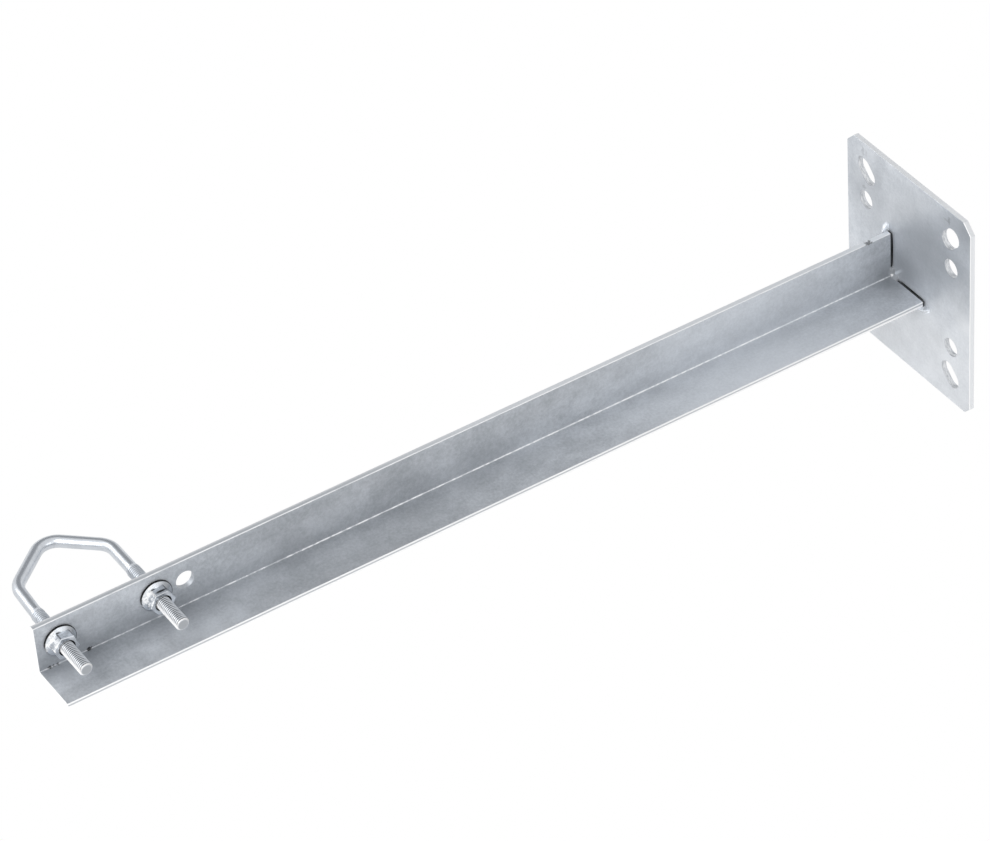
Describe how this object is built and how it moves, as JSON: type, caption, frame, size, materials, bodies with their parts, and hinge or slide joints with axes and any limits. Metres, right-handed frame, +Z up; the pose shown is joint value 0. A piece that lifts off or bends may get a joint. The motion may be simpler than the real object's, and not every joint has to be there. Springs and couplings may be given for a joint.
{
  "type": "antenna mast wall bracket",
  "caption": "Wall bracket that holds an antenna mast away from a wall: slotted plate, long welded angle arm and a V-bolt clamp.",
  "frame": {"origin": "centre of the wall plate, on the face that lies against the wall", "axes": "+Y points into the wall and the arm reaches out along -Y, +Z is up along the mast, and the V-bolt's nuts are on the +X side of the arm's upright leg with its bow and the mast on the -X side"},
  "size_m": [0.1091, 0.415, 0.1],
  "materials": {
    "galvanised": "satin, mottled",
    "weld": "satin, rippled",
    "zinc": "bright satin"
  },
  "bodies": {
    "bracket": {"wall_plate": "galvanised", "arm": "galvanised", "outer_weld": "weld", "corner_tack": "weld"},
    "v_bolt": {"v_bolt": "zinc"},
    "end_nut": {"end_nut": "zinc"},
    "inner_nut": {"inner_nut": "zinc"}
  },
  "joints": [
    {"name": "end_nut_turn", "type": "hinge", "parent": "bracket", "child": "end_nut", "pos_m": [-0.008, -0.4044, 0.0039], "axis": [-1, 0, 0], "range_deg": [-5401, 6481]},
    {"name": "inner_nut_turn", "type": "hinge", "parent": "bracket", "child": "inner_nut", "pos_m": [-0.008, -0.3612, 0.0039], "axis": [-1, 0, 0], "range_deg": [-5401, 6481]},
    {"name": "v_bolt_slide", "type": "slide", "parent": "bracket", "child": "v_bolt", "axis": [1, 0, 0], "range_m": [-0.015, 0.018]}
  ],
  "couplings": [
    {"joint": "end_nut_turn", "follows": "v_bolt_slide", "rad_per_m": 6283.2},
    {"joint": "inner_nut_turn", "follows": "v_bolt_slide", "rad_per_m": 6283.2}
  ]
}
